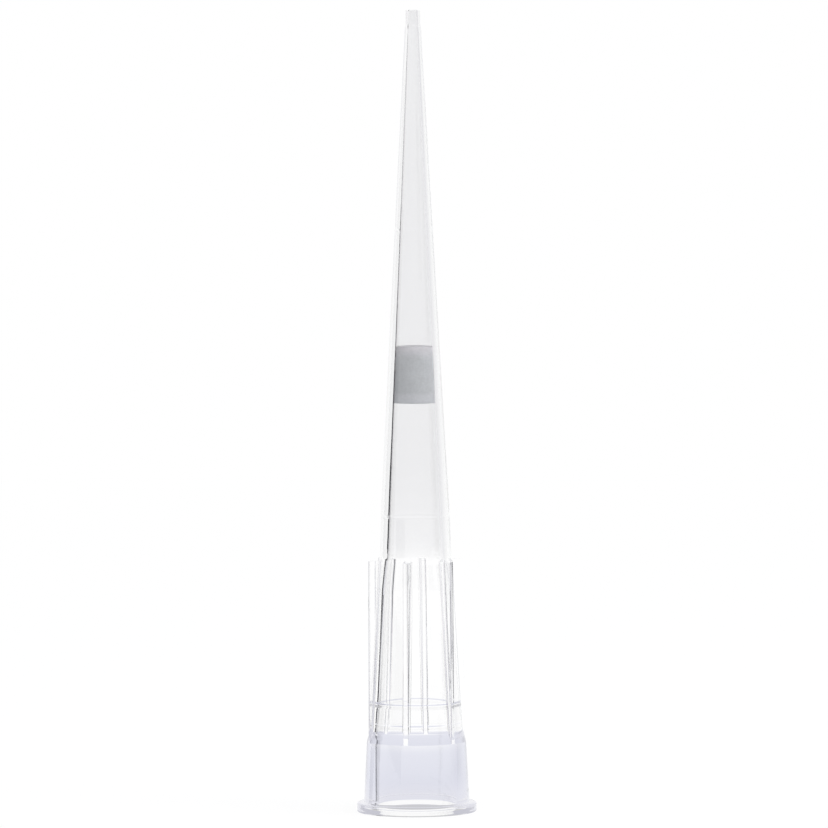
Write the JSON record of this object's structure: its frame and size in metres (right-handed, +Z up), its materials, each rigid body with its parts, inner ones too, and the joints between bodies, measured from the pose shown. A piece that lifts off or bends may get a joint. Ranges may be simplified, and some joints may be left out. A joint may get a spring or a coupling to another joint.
{
  "type": "pipette tip",
  "caption": "Clear filter tip for a hand-held pipette: a finned socket that narrows to a fine orifice, with a porous plug in its channel.",
  "frame": {"origin": "centre of the collar's lower face, where the tip stands", "axes": "+Z up the tip's axis, from the nozzle socket to the orifice; +X to the right and -Y towards the viewer in the front view"},
  "size_m": [0.0074, 0.0074, 0.05],
  "materials": {
    "clear_plastic": "clear polypropylene, polished mould finish",
    "porous_filter": "sintered porous polyethylene, fine open grain"
  },
  "bodies": {
    "root": {"tip_body": "clear_plastic", "filter_plug": "porous_filter"}
  },
  "joints": []
}
